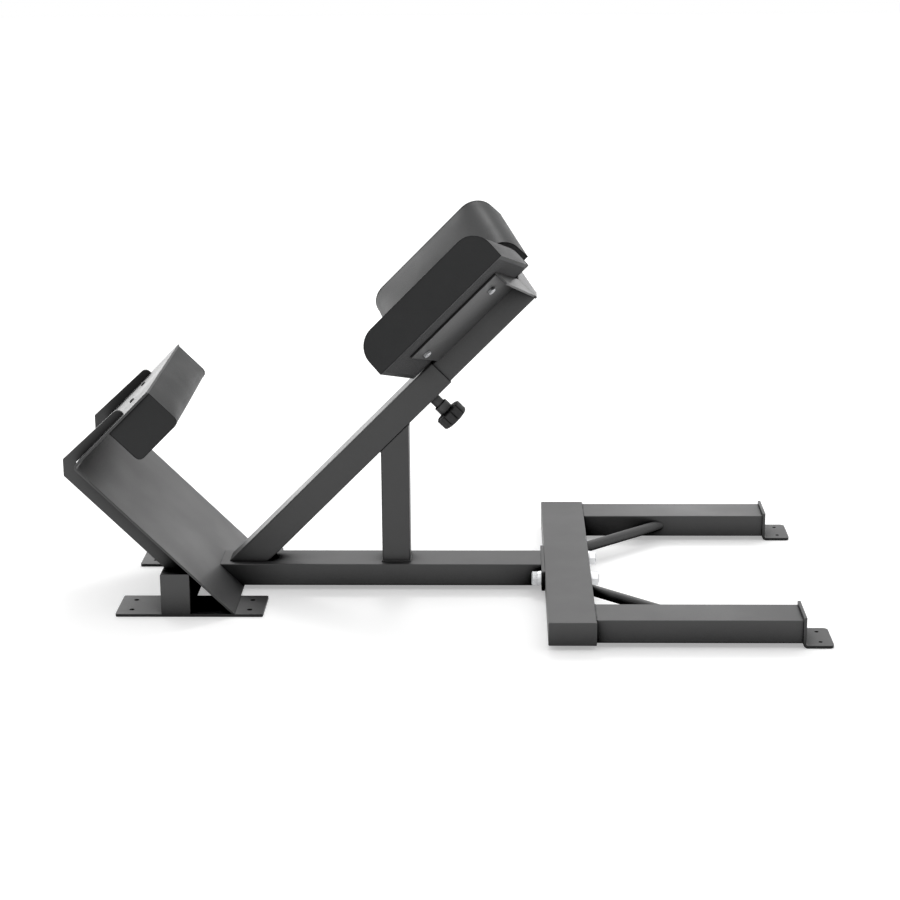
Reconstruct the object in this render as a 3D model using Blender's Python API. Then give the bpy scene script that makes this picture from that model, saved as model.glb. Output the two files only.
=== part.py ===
"""Hyperextension bench: welded steel frame, foot platform with calf pad, and a telescoping
carriage with two hip pads that a spring plunger locks at seven lengths.

Lengths are in metres. X runs along the bench towards the split legs, Y across it, Z up.
The origin is on the floor under the middle of the bounding box, at the photographed setting.
Inclined pieces are drawn in a frame of their own: u up the incline, y across, v square to it.
"""
import math

import bmesh
import bpy
from mathutils import Matrix, Vector

# Clearances
GAP = 0.0003                # between touching pieces
BOLT_PLAY = 0.0005          # round a shank in its hole
SLIDE_PLAY = 0.0005         # each side of the carriage tube inside the post

# Rectangular tube of the ground frame
TUBE_WIDTH = 0.080
TUBE_HEIGHT = 0.040
TUBE_WALL = 0.0025
TUBE_CORNER = 0.0016
TUBE_BASE_Z = 0.008         # underside of the ground frame above the floor
CAP_THICK = 0.003

# Crossbeam, legs and braces
BEAM_LEFT_X = 0.1777
BEAM_LENGTH = 0.6770
LEG_LENGTH = 0.3395
LEG_INSET = 0.0123          # a leg's outer side from the crossbeam's end
BRACE_DIAMETER = 0.0195
BRACE_RUN_Y = 0.1262
BRACE_RUN_X = 0.1375

# Floor brackets at the leg ends
BRACKET_THICK = 0.005
BRACKET_WIDTH = 0.0845
BRACKET_HEIGHT = 0.0533
BRACKET_REACH = 0.0515
BRACKET_BEND = 0.008
BRACKET_CORNER = 0.008
BRACKET_HOLE_INSET = 0.0205
BRACKET_HOLE_PITCH = 0.048
BRACKET_HOLE_DIAMETER = 0.007

# Flange joint between spine and crossbeam
FLANGE_THICK = 0.006
FLANGE_WIDTH = 0.150
FLANGE_HEIGHT = 0.037
BOLT_SPREAD = 0.114
BOLT_SHANK = 0.016
BOLT_ACROSS_FLATS = 0.024
BOLT_HEAD = 0.010
NUT_HEIGHT = 0.0105
SPRING_WASHER_DIAMETER = 0.0245
SPRING_WASHER_THICK = 0.0035
WASHER_DIAMETER = 0.026
WASHER_THICK = 0.0025
BOLT_TAIL = 0.0021          # bolt end beyond its nut

# Incline: the line of the post's centre, and the post and carriage tubes on it
INCLINE_ANGLE = math.radians(45.0)
INCLINE_FOOT_X = -0.3993    # where that line meets the floor
POST_SIZE = 0.050
POST_WALL = 0.002
SQUARE_CORNER = 0.0035
CARRIAGE_CORNER = 0.0028    # the inner tube's own, tighter corner
POST_MOUTH_U = 0.558
CARRIAGE_WALL = 0.002
CARRIAGE_INSERTION = 0.2500 # of the carriage tube in the post at the photographed setting
CARRIAGE_CAP_THICK = 0.004
CARRIAGE_CAP_LIP = 0.0015   # end plate beyond the tube's lower face

# Upright stay between spine and post
STAY_SIZE = 0.050
STAY_FROM_FOOT = 0.3120     # its centre from the foot of the incline

# Locking: hole row in the carriage, plunger on the post's underside
PIN_FROM_MOUTH = 0.0458     # its axis from the post's open end
PIN_DIAMETER = 0.010
PIN_PLAY = 0.0006
HOLE_PITCH = 0.025
HOLE_COUNT = 7
PIN_REACH = 0.004           # tip beyond the carriage wall
HOUSING_NECK_DIAMETER = 0.0196
HOUSING_NECK_LENGTH = 0.0167
HOUSING_DIAMETER = 0.0262
HOUSING_LENGTH = 0.0325
HOUSING_FLOOR = 0.0035
CHAMBER_DIAMETER = 0.0150
HOUSING_CAP_THICK = 0.004
ROD_DIAMETER = 0.007
PIN_FLANGE_DIAMETER = 0.0140
PIN_FLANGE_THICK = 0.0025
KNOB_DIAMETER = 0.0515
KNOB_LENGTH = 0.0245
KNOB_GRIPS = 10
KNOB_GROOVE = 0.0022        # depth of the grooves between grips
KNOB_GROOVE_SHARE = 0.22    # of each grip's arc
KNOB_RIM_GROOVE_SHARE = 0.4 # of the groove's depth, left at the domed end's rim
KNOB_SOCKET = 0.012         # depth of the rod in the knob

# Foot platform: folded sheet, side gussets, rear cross tube and floor plates
SHEET_THICK = 0.004
SHEET_FRONT_U = 0.032       # face that the feet stand on
SHEET_WIDTH = 0.364
SHEET_BEND = 0.004
LIP_FRONT_V = 0.3465        # face of the lip behind the calves
LIP_END_U = 0.2155
GUSSET_THICK = 0.005
GUSSET_INSET = 0.032        # outer face from the sheet's side edge
GUSSET_BACK_U = -0.004
GUSSET_TOP_V = 0.3705
GUSSET_TAPER = 0.0055       # loss of height along the lip
GUSSET_CHAMFER = 0.021
GUSSET_TIP_U = 0.150
GUSSET_TIP_RADIUS = 0.010
REAR_TUBE_WIDTH = 0.050
REAR_TUBE_TOP_Z = 0.077
FLOOR_PLATE_REACH = 0.1674  # left end from the foot of the incline
FLOOR_PLATE_LENGTH = 0.2555
FLOOR_PLATE_WIDTH = 0.0957
FLOOR_PLATE_THICK = 0.005
FLOOR_HOLE_PITCH_X = 0.205
FLOOR_HOLE_PITCH_Y = 0.049
FLOOR_HOLE_DIAMETER = 0.009

# Calf pad on the lip
CALF_LOW_U = 0.1158
CALF_LENGTH_U = 0.0990
CALF_DEPTH = 0.0705
CALF_INSET = 0.006          # end of the pad from the sheet's side edge
CALF_CORNER = 0.010
CALF_SCREW_U = 0.150
CALF_SCREW_SPREAD = 0.120
SCREW_SHANK = 0.006
SCREW_BITE = 0.0055         # shank inside the board
SCREW_HEAD_DIAMETER = 0.0105
SCREW_HEAD = 0.003

# Hip pads, their boards and the wing plates under them
PAD_PAST_WING = 0.0471      # lower end of the pad below the wing's
PAD_LENGTH = 0.2820
PAD_WIDTH = 0.1753
PAD_DEPTH = 0.0676
PAD_END_RADIUS = 0.0385
PAD_ROLL = math.radians(22.2)
PAD_INNER_Y = 0.0416        # inner lower edge of each pad from the mid-plane
PAD_BASE_V = 0.0295
PAD_CROWN = 0.003
PAD_SIDE_SWELL = 0.0015
BOARD_THICK = 0.010
BOARD_MARGIN = 0.007        # vinyl wall round the board
WING_THICK = 0.004
WING_OUTER = 0.125          # wing's outer edge from the pad's inner edge
WING_FROM_MOUTH = 0.0088    # lower end from the post's open end
WING_LENGTH = 0.1992
WING_INNER_SET = 0.003
RIB_THICK = 0.004           # plate square to the tube under each wing's upper end
RIB_OUTER_DEPTH = 0.027
RIB_FOOT_V = -0.020
PAD_BOLT_OUT = 0.079
PAD_BOLT_INSET = 0.0157     # lower bolt from the wing's lower end
PAD_BOLT_PITCH = 0.1545
PAD_BOLT_SHANK = 0.008
PAD_BOLT_FLATS = 0.013
PAD_BOLT_HEAD = 0.0053
PAD_BOLT_DEPTH = 0.006      # shank inside the board

# Colours: base colour, roughness, metallic
PAINT = ((0.055, 0.057, 0.060), 0.42, 0.0)
CAP_PAINT = ((0.050, 0.052, 0.055), 0.45, 0.0)
VINYL = ((0.045, 0.046, 0.048), 0.50, 0.0)
PLYWOOD = ((0.42, 0.30, 0.18), 0.75, 0.0)
ZINC = ((0.68, 0.69, 0.70), 0.30, 1.0)
BLACK_OXIDE = ((0.03, 0.03, 0.032), 0.40, 0.8)
PLASTIC = ((0.035, 0.036, 0.038), 0.45, 0.0)

# Derived sizes
PIN_U = POST_MOUTH_U - PIN_FROM_MOUTH
CARRIAGE_LOW_U = POST_MOUTH_U - CARRIAGE_INSERTION
WING_LOW_U = POST_MOUTH_U + WING_FROM_MOUTH
WING_HIGH_U = WING_LOW_U + WING_LENGTH
CARRIAGE_END_U = WING_HIGH_U
PAD_LOW_U = WING_LOW_U - PAD_PAST_WING
PAD_BOLT_LOW_U = WING_LOW_U + PAD_BOLT_INSET
PAD_BOLT_HIGH_U = PAD_BOLT_LOW_U + PAD_BOLT_PITCH
STAY_CENTRE_X = INCLINE_FOOT_X + STAY_FROM_FOOT
FLOOR_PLATE_LEFT_X = INCLINE_FOOT_X - FLOOR_PLATE_REACH
GUSSET_OUTER_Y = SHEET_WIDTH / 2 - GUSSET_INSET
CALF_WIDTH = SHEET_WIDTH - 2 * CALF_INSET
BEAM_RIGHT_X = BEAM_LEFT_X + TUBE_WIDTH
TUBE_TOP_Z = TUBE_BASE_Z + TUBE_HEIGHT
TUBE_MID_Z = TUBE_BASE_Z + TUBE_HEIGHT / 2
LEG_OUTER_Y = BEAM_LENGTH / 2 - LEG_INSET
LEG_MID_Y = LEG_OUTER_Y - TUBE_WIDTH / 2
LEG_INNER_Y = LEG_OUTER_Y - TUBE_WIDTH
BRACE_START_Y = LEG_INNER_Y - BRACE_RUN_Y
LEG_END_X = BEAM_RIGHT_X + GAP + LEG_LENGTH
BRACKET_X = LEG_END_X + GAP
HOLE_DIAMETER = PIN_DIAMETER + PIN_PLAY
CARRIAGE_SIZE = POST_SIZE - 2 * POST_WALL - 2 * SLIDE_PLAY
SLOPE = math.tan(INCLINE_ANGLE)
SHEET_BACK_U = SHEET_FRONT_U - SHEET_THICK
LIP_BACK_V = LIP_FRONT_V + SHEET_THICK
SIDES = {"near": -1, "far": 1}


def clear_scene():
    for thing in list(bpy.data.objects):
        bpy.data.objects.remove(thing, do_unlink=True)


def finish_material(name, look):
    colour, rough, metal = look
    material = bpy.data.materials.new(name)
    material.use_nodes = True
    shader = material.node_tree.nodes["Principled BSDF"]
    shader.inputs["Base Color"].default_value = (*colour, 1.0)
    shader.inputs["Roughness"].default_value = rough
    shader.inputs["Metallic"].default_value = metal
    material.diffuse_color = (*colour, 1.0)
    return material


def add_piece(name, shape, look, parent=None, smooth=None):
    """One named sub-part from a closed bmesh; smooth is the angle in degrees that stays soft."""
    bmesh.ops.remove_doubles(shape, verts=shape.verts, dist=1e-7)
    bmesh.ops.recalc_face_normals(shape, faces=shape.faces)
    mesh = bpy.data.meshes.new(name)
    shape.to_mesh(mesh)
    shape.free()
    if smooth:
        mesh.shade_smooth()
        mesh.set_sharp_from_angle(angle=math.radians(smooth))
    piece = bpy.data.objects.new(name, mesh)
    bpy.context.collection.objects.link(piece)
    mesh.materials.append(finish_material(name, look))
    piece.parent = parent
    return piece


def add_axis(name, parent, location, rotation=(0.0, 0.0, 0.0)):
    axis = bpy.data.objects.new(name, None)
    axis.empty_display_size = 0.05
    bpy.context.collection.objects.link(axis)
    axis.parent = parent
    axis.location = location
    axis.rotation_euler = rotation
    return axis


def soften_edges(piece, width=0.0006):
    bevel = piece.modifiers.new("soft_edges", "BEVEL")
    bevel.width = width
    bevel.segments = 1
    bevel.limit_method = "ANGLE"
    bevel.angle_limit = math.radians(40)


def cut_away(piece, cutter_shape):
    """Cuts every closed shell of cutter_shape out of the piece."""
    bmesh.ops.recalc_face_normals(cutter_shape, faces=cutter_shape.faces)
    mesh = bpy.data.meshes.new(piece.name + "_cutter")
    cutter_shape.to_mesh(mesh)
    cutter_shape.free()
    cutter = bpy.data.objects.new(piece.name + "_cutter", mesh)
    bpy.context.collection.objects.link(cutter)
    cutter.parent = piece
    cutter.hide_render = True
    cutter.display_type = "WIRE"
    cut = piece.modifiers.new("cut", "BOOLEAN")
    cut.operation = "DIFFERENCE"
    cut.solver = "EXACT"
    cut.object = cutter


# Shapes

def rounded_rectangle(width, height, radius, steps=2):
    """Loop of (a, b) points centred on zero, with the same count for every radius."""
    points = []
    for turn in range(4):
        start = turn * math.pi / 2
        side_a = 1 if turn in (0, 3) else -1
        side_b = 1 if turn in (0, 1) else -1
        for step in range(steps + 1):
            angle = start + step / steps * math.pi / 2
            a = side_a * (width / 2 - radius) + radius * math.cos(angle)
            b = side_b * (height / 2 - radius) + radius * math.sin(angle)
            points.append((a, b))
    return points


def ring_faces(shape, loops, closed=False):
    """Quads between each loop of vertices and the next; closed joins the last to the first."""
    pairs = list(zip(loops, loops[1:]))
    if closed:
        pairs.append((loops[-1], loops[0]))
    for one, two in pairs:
        count = len(one)
        for i in range(count):
            j = (i + 1) % count
            shape.faces.new((one[i], one[j], two[j], two[i]))


def add_tube(shape, width, height, wall, corner, place, low, high, steps=2):
    """Hollow rectangular tube; low and high give each end's position for a section point."""
    outer = rounded_rectangle(width, height, corner, steps)
    inner_corner = max(corner - wall, corner * 0.4)
    inner = rounded_rectangle(width - 2 * wall, height - 2 * wall, inner_corner, steps)
    loops = []
    for section, end in ((outer, low), (outer, high), (inner, high), (inner, low)):
        loops.append([shape.verts.new(place(end(a, b), a, b)) for a, b in section])
    ring_faces(shape, loops, closed=True)


def add_prism(shape, outline, place, low, high):
    """Solid with a flat outline; place turns (first, second, depth) into a position."""
    bottom = [shape.verts.new(place(a, b, low)) for a, b in outline]
    top = [shape.verts.new(place(a, b, high)) for a, b in outline]
    ring_faces(shape, [bottom, top])
    shape.faces.new(bottom)
    shape.faces.new(top)


def add_box(shape, low, high):
    outline = [(low[0], low[1]), (high[0], low[1]), (high[0], high[1]), (low[0], high[1])]
    add_prism(shape, outline, lambda a, b, c: (a, b, c), low[2], high[2])


def add_round(shape, start, direction, profile, segments=24, lobes=0, lobe_depth=0.0):
    """Turned solid: profile is (distance along direction, radius) with closed flat ends."""
    along = Vector(direction).normalized()
    side = along.orthogonal().normalized()
    other = along.cross(side)
    loops = []
    for distance, radius in profile:
        loop = []
        for i in range(segments):
            angle = 2 * math.pi * i / segments
            reach = radius - lobe_depth * (1 - abs(math.cos(lobes * angle / 2)) ** 0.5)
            spoke = side * math.cos(angle) + other * math.sin(angle)
            loop.append(shape.verts.new(Vector(start) + along * distance + spoke * reach))
        loops.append(loop)
    ring_faces(shape, loops)
    shape.faces.new(loops[0])
    shape.faces.new(loops[-1])


def add_ring(shape, start, direction, profile, segments=24):
    """Turned solid with a bore: profile is a closed loop of (distance, radius)."""
    along = Vector(direction).normalized()
    side = along.orthogonal().normalized()
    other = along.cross(side)
    loops = []
    for distance, radius in profile:
        loop = []
        for i in range(segments):
            angle = 2 * math.pi * i / segments
            spoke = side * math.cos(angle) + other * math.sin(angle)
            loop.append(shape.verts.new(Vector(start) + along * distance + spoke * radius))
        loops.append(loop)
    ring_faces(shape, loops, closed=True)


def hexagon_profile(shape, start, direction, flats, height, chamfer=0.0012):
    """Bolt head: six flats, with the outer rim turned down."""
    corner = flats / math.sqrt(3)
    along = Vector(direction).normalized()
    side = along.orthogonal().normalized()
    other = along.cross(side)
    loops = []
    for distance, radius in ((0.0, corner), (height - chamfer, corner), (height, corner - 1.6 * chamfer)):
        loop = []
        for i in range(6):
            angle = 2 * math.pi * i / 6
            spoke = side * math.cos(angle) + other * math.sin(angle)
            loop.append(shape.verts.new(Vector(start) + along * distance + spoke * radius))
        loops.append(loop)
    return loops


def add_bolt(shape, under_head, direction, flats, head, shank, length):
    """Hexagon bolt: direction points from the head's underside to the shank's end."""
    along = Vector(direction).normalized()
    loops = hexagon_profile(shape, under_head, -along, flats, head)
    ring_faces(shape, loops)
    shape.faces.new(loops[-1])
    side = along.orthogonal().normalized()
    other = along.cross(side)
    segments = 18
    rings = []
    for distance, radius in ((0.0, shank / 2), (length - 0.001, shank / 2), (length, shank / 2 - 0.001)):
        ring = []
        for i in range(segments):
            angle = 2 * math.pi * i / segments
            spoke = side * math.cos(angle) + other * math.sin(angle)
            ring.append(shape.verts.new(Vector(under_head) + along * distance + spoke * radius))
        rings.append(ring)
    ring_faces(shape, rings)
    shape.faces.new(rings[-1])
    bridge_under_head(shape, loops[0], rings[0])


def bridge_under_head(shape, hexagon, circle):
    """Flat annulus between a head's six corners and the shank's circle."""
    edges = set()
    for loop in (hexagon, circle):
        for i, vert in enumerate(loop):
            edges.add(shape.edges.get((vert, loop[(i + 1) % len(loop)])))
    bmesh.ops.bridge_loops(shape, edges=list(edges))


def add_hex_nut(shape, start, direction, flats, height, bore):
    """Hexagon nut with a plain bore."""
    along = Vector(direction).normalized()
    side = along.orthogonal().normalized()
    other = along.cross(side)
    corner = flats / math.sqrt(3)
    segments = 18
    loops = []
    for distance, kind in ((0.0, "hex"), (height, "hex"), (height, "bore"), (0.0, "bore")):
        loop = []
        for i in range(segments):
            angle = 2 * math.pi * i / segments
            radius = bore / 2
            if kind == "hex":
                within = (angle % (math.pi / 3)) - math.pi / 6
                radius = corner * math.cos(math.pi / 6) / math.cos(within)
            spoke = side * math.cos(angle) + other * math.sin(angle)
            loop.append(shape.verts.new(Vector(start) + along * distance + spoke * radius))
        loops.append(loop)
    ring_faces(shape, loops, closed=True)


def drill(points, direction, radius, depth, segments=20):
    """Cutter of round bars, each centred on its point."""
    shape = bmesh.new()
    along = Vector(direction).normalized()
    for point in points:
        start = Vector(point) - along * depth / 2
        add_round(shape, start, along, [(0.0, radius), (depth, radius)], segments)
    return shape


def arc(centre, radius, start, end, steps):
    """Points on an arc, angles in degrees."""
    points = []
    for step in range(steps + 1):
        angle = math.radians(start + (end - start) * step / steps)
        points.append((centre[0] + radius * math.cos(angle), centre[1] + radius * math.sin(angle)))
    return points


# Ground frame

def along_y(l, a, b):
    return (a, l, b)


def along_x(l, a, b):
    return (l, a, b)


def build_crossbeam():
    centre_x = BEAM_LEFT_X + TUBE_WIDTH / 2
    half = BEAM_LENGTH / 2 - CAP_THICK - GAP
    shape = bmesh.new()
    add_tube(shape, TUBE_WIDTH, TUBE_HEIGHT, TUBE_WALL, TUBE_CORNER, along_y,
             lambda a, b: -half, lambda a, b: half)
    beam = add_piece("crossbeam_tube", shape, PAINT, smooth=35)
    beam.location = (centre_x, 0.0, TUBE_MID_Z)
    points = [(0.0, side * BOLT_SPREAD / 2, 0.0) for side in (-1, 1)]
    cut_away(beam, drill(points, (1, 0, 0), BOLT_SHANK / 2 + BOLT_PLAY, TUBE_WIDTH * 1.2))
    outline = rounded_rectangle(TUBE_WIDTH, TUBE_HEIGHT, TUBE_CORNER)
    build_end_caps("crossbeam_end_cap", outline, BEAM_LENGTH / 2, beam.location)


def build_end_caps(name, outline, half, location):
    """Flat plates that close both ends of a tube across the bench."""
    for word, side in SIDES.items():
        ends = sorted((side * half, side * (half - CAP_THICK)))
        shape = bmesh.new()
        add_prism(shape, outline, lambda a, b, c: (a, c, b), ends[0], ends[1])
        cap = add_piece(word + "_" + name, shape, CAP_PAINT, smooth=35)
        cap.location = location


def build_leg(name, side):
    shape = bmesh.new()
    add_tube(shape, TUBE_WIDTH, TUBE_HEIGHT, TUBE_WALL, TUBE_CORNER, along_x,
             lambda a, b: 0.0, lambda a, b: LEG_LENGTH)
    leg = add_piece(name + "_leg_tube", shape, PAINT, smooth=35)
    leg.location = (BEAM_RIGHT_X + GAP, side * LEG_MID_Y, TUBE_MID_Z)


def bracket_profile():
    """Side view (x, z) of the bent plate: upright leg, bend at the floor, tab."""
    outer = BRACKET_BEND
    inner = BRACKET_BEND - BRACKET_THICK
    points = [(0.0, BRACKET_HEIGHT), (0.0, outer)]
    points += arc((outer, outer), outer, 180, 270, 5)[1:]
    points += [(BRACKET_REACH, 0.0), (BRACKET_REACH, BRACKET_THICK)]
    points += arc((outer, outer), inner, 270, 180, 5)
    points += [(BRACKET_THICK, BRACKET_HEIGHT)]
    return points


def build_bracket(name, side):
    shape = bmesh.new()
    half = BRACKET_WIDTH / 2
    add_prism(shape, bracket_profile(), lambda a, b, c: (a, c, b), -half, half)
    bracket = add_piece(name + "_leg_bracket", shape, PAINT, smooth=35)
    bracket.location = (BRACKET_X, side * LEG_MID_Y, 0.0)
    cutter = bmesh.new()
    hole_x = BRACKET_REACH - BRACKET_HOLE_INSET
    for hole in (-1, 1):
        start = (hole_x, hole * BRACKET_HOLE_PITCH / 2, -BRACKET_THICK)
        profile = [(0.0, BRACKET_HOLE_DIAMETER / 2), (3 * BRACKET_THICK, BRACKET_HOLE_DIAMETER / 2)]
        add_round(cutter, start, (0, 0, 1), profile, 20)
        corner = round_off(BRACKET_REACH, hole * half, BRACKET_CORNER, 1, hole)
        add_prism(cutter, corner, lambda a, b, c: (a, b, c), -0.002, BRACKET_THICK + 0.002)
    cut_away(bracket, cutter)


def round_off(x, y, radius, side_x, side_y):
    """Corner waste: what a cutter takes away to leave a rounded corner at (x, y)."""
    over = 0.002
    centre = (x - side_x * radius, y - side_y * radius)
    curve = []
    for step in range(6):
        angle = math.radians(90 * step / 5)
        curve.append((centre[0] + side_x * radius * math.cos(angle),
                      centre[1] + side_y * radius * math.sin(angle)))
    waste = [(x + side_x * over, centre[1]), *curve, (centre[0], y + side_y * over),
             (x + side_x * over, y + side_y * over)]
    return waste


def build_brace(name, side):
    """Round brace from the crossbeam to a leg's inner face, its ends cut to those faces."""
    start = Vector((BEAM_RIGHT_X + GAP, side * BRACE_START_Y, TUBE_MID_Z))
    end = Vector((start.x + BRACE_RUN_X, side * (LEG_INNER_Y - GAP), TUBE_MID_Z))
    along = (end - start).normalized()
    extra = BRACE_DIAMETER
    length = (end - start).length + 2 * extra
    shape = bmesh.new()
    radius = BRACE_DIAMETER / 2
    add_round(shape, -along * extra, along, [(0.0, radius), (length, radius)], 24)
    for point, outward in ((Vector(), Vector((-1, 0, 0))), (end - start, Vector((0, side, 0)))):
        everything = shape.verts[:] + shape.edges[:] + shape.faces[:]
        cut = bmesh.ops.bisect_plane(shape, geom=everything, plane_co=point,
                                     plane_no=outward, clear_outer=True)
        rim = [item for item in cut["geom_cut"] if isinstance(item, bmesh.types.BMEdge)]
        bmesh.ops.contextual_create(shape, geom=rim)
    brace = add_piece(name + "_brace", shape, PAINT, smooth=35)
    brace.location = start


def build_spine():
    """Tube from the foot platform to the flange; its left end is cut to the sheet's face."""
    right_x = BEAM_LEFT_X - FLANGE_THICK - 2 * GAP
    cut_u = SHEET_FRONT_U + GAP

    def left_end(a, b):
        height = TUBE_MID_Z + b
        return INCLINE_FOOT_X + cut_u / math.cos(INCLINE_ANGLE) - height * SLOPE - right_x

    shape = bmesh.new()
    add_tube(shape, TUBE_WIDTH, TUBE_HEIGHT, TUBE_WALL, TUBE_CORNER, along_x, left_end, lambda a, b: 0.0)
    spine = add_piece("spine_tube", shape, PAINT, smooth=35)
    spine.location = (right_x, 0.0, TUBE_MID_Z)
    flange = bmesh.new()
    outline = rounded_rectangle(FLANGE_WIDTH, FLANGE_HEIGHT, 0.003)
    add_prism(flange, outline, lambda a, b, c: (c, a, b), -FLANGE_THICK, 0.0)
    piece = add_piece("spine_flange", flange, PAINT, smooth=35)
    piece.location = (BEAM_LEFT_X - GAP, 0.0, TUBE_MID_Z)
    points = [(-FLANGE_THICK / 2, side * BOLT_SPREAD / 2, 0.0) for side in (-1, 1)]
    cut_away(piece, drill(points, (1, 0, 0), BOLT_SHANK / 2 + BOLT_PLAY, FLANGE_THICK * 3))


def build_flange_fasteners():
    """On each side a bolt, its spring washer, two washers and its nut."""
    head_x = (BEAM_LEFT_X - FLANGE_THICK - 2 * GAP) - WASHER_THICK - SPRING_WASHER_THICK - 2 * GAP
    nut_x = BEAM_RIGHT_X + WASHER_THICK + 2 * GAP
    bore = BOLT_SHANK / 2 + BOLT_PLAY
    length = nut_x + NUT_HEIGHT + BOLT_TAIL - head_x + GAP
    for name, side in SIDES.items():
        centre = (0.0, side * BOLT_SPREAD / 2, TUBE_MID_Z)
        bolt = bmesh.new()
        add_bolt(bolt, (-GAP, 0, 0), (1, 0, 0), BOLT_ACROSS_FLATS, BOLT_HEAD, BOLT_SHANK, length)
        add_piece(name + "_flange_bolt", bolt, ZINC, smooth=35).location = (head_x, *centre[1:])
        nut = bmesh.new()
        add_hex_nut(nut, (0, 0, 0), (1, 0, 0), BOLT_ACROSS_FLATS, NUT_HEIGHT, BOLT_SHANK + 2 * GAP)
        add_piece(name + "_flange_nut", nut, ZINC, smooth=25).location = (nut_x, *centre[1:])
        build_washer(name + "_spring_washer", head_x, centre,
                     SPRING_WASHER_DIAMETER, SPRING_WASHER_THICK, bore)
        for word, x in (("head", head_x + SPRING_WASHER_THICK + GAP), ("nut", BEAM_RIGHT_X + GAP)):
            build_washer(name + "_" + word + "_washer", x, centre, WASHER_DIAMETER, WASHER_THICK, bore)


def build_washer(name, x, centre, diameter, thick, bore):
    profile = [(0.0, diameter / 2), (thick, diameter / 2), (thick, bore), (0.0, bore)]
    shape = bmesh.new()
    add_ring(shape, (0, 0, 0), (1, 0, 0), profile)
    add_piece(name, shape, ZINC, smooth=35).location = (x, *centre[1:])


def build_stay():
    """Upright from the spine's top to the post's underside."""
    post_under = -POST_SIZE / 2 - GAP
    base_z = TUBE_TOP_Z + GAP

    def top(a, b):
        x = STAY_CENTRE_X + a
        return (x - INCLINE_FOOT_X) * SLOPE + post_under / math.cos(INCLINE_ANGLE) - base_z

    shape = bmesh.new()
    add_tube(shape, STAY_SIZE, STAY_SIZE, POST_WALL, SQUARE_CORNER, lambda l, a, b: (a, b, l),
             lambda a, b: 0.0, top, steps=3)
    stay = add_piece("upright_stay", shape, PAINT, smooth=35)
    stay.location = (STAY_CENTRE_X, 0.0, base_z)


# Foot platform

def sheet_profile():
    """Section (u, v) of the folded sheet, from its floor edge up the plate and out along the lip."""
    floor_sum = (FLOOR_PLATE_THICK + GAP) * math.sqrt(2)
    inner = SHEET_BEND
    outer = SHEET_BEND + SHEET_THICK
    centre = (SHEET_FRONT_U + inner, LIP_FRONT_V - inner)
    points = [(SHEET_FRONT_U, floor_sum - SHEET_FRONT_U)]
    points += arc(centre, inner, 180, 90, 5)
    points += [(LIP_END_U, LIP_FRONT_V), (LIP_END_U, LIP_BACK_V)]
    points += arc(centre, outer, 90, 180, 5)
    points += [(SHEET_BACK_U, floor_sum - SHEET_BACK_U)]
    return points


def gusset_outline():
    """Outline (u, v) of a side plate behind the sheet: along the plate, round the fold, up the lip."""
    inner_u = SHEET_BACK_U - GAP
    inner_v = LIP_BACK_V + GAP
    rest_sum = (REAR_TUBE_TOP_Z + GAP) * math.sqrt(2)
    tip_v = GUSSET_TOP_V - GUSSET_TAPER
    points = [(inner_u, rest_sum - inner_u), (GUSSET_BACK_U, rest_sum - GUSSET_BACK_U)]
    points += [(GUSSET_BACK_U, GUSSET_TOP_V - GUSSET_CHAMFER), (GUSSET_BACK_U + GUSSET_CHAMFER, GUSSET_TOP_V)]
    centre = (GUSSET_TIP_U - GUSSET_TIP_RADIUS, tip_v - GUSSET_TIP_RADIUS)
    points += arc(centre, GUSSET_TIP_RADIUS, 88, 0, 6)
    points += [(GUSSET_TIP_U, inner_v), (inner_u, inner_v)]
    return points


def build_platform(incline):
    shape = bmesh.new()
    half = SHEET_WIDTH / 2
    add_prism(shape, sheet_profile(), lambda u, v, y: (u, y, v), -half, half)
    sheet = add_piece("foot_platform_sheet", shape, PAINT, incline, smooth=35)
    soften_edges(sheet)
    points = [(CALF_SCREW_U, side * CALF_SCREW_SPREAD / 2, LIP_BACK_V) for side in (-1, 1)]
    cut_away(sheet, drill(points, (0, 0, 1), SCREW_SHANK / 2 + BOLT_PLAY, SHEET_THICK * 4))
    for name, side in SIDES.items():
        gusset = bmesh.new()
        ends = sorted((side * GUSSET_OUTER_Y, side * (GUSSET_OUTER_Y - GUSSET_THICK)))
        add_prism(gusset, gusset_outline(), lambda u, v, y: (u, y, v), ends[0], ends[1])
        piece = add_piece(name + "_platform_gusset", gusset, PAINT, incline, smooth=35)
        soften_edges(piece)


def build_rear_tube():
    """Cross tube under the platform; its upper right corner meets the back of the sheet."""
    corner_u = SHEET_BACK_U - GAP
    right_x = INCLINE_FOOT_X + corner_u / math.cos(INCLINE_ANGLE) - REAR_TUBE_TOP_Z * SLOPE
    centre_x = right_x - REAR_TUBE_WIDTH / 2 + TUBE_CORNER * 0.4
    base_z = FLOOR_PLATE_THICK + GAP
    height = REAR_TUBE_TOP_Z - base_z
    half = SHEET_WIDTH / 2 - CAP_THICK - GAP
    middle = (centre_x, 0.0, base_z + height / 2)
    shape = bmesh.new()
    add_tube(shape, REAR_TUBE_WIDTH, height, TUBE_WALL, TUBE_CORNER, along_y,
             lambda a, b: -half, lambda a, b: half)
    tube = add_piece("rear_cross_tube", shape, PAINT, smooth=35)
    tube.location = middle
    outline = rounded_rectangle(REAR_TUBE_WIDTH, height, TUBE_CORNER)
    build_end_caps("rear_tube_end_cap", outline, SHEET_WIDTH / 2, middle)


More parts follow.
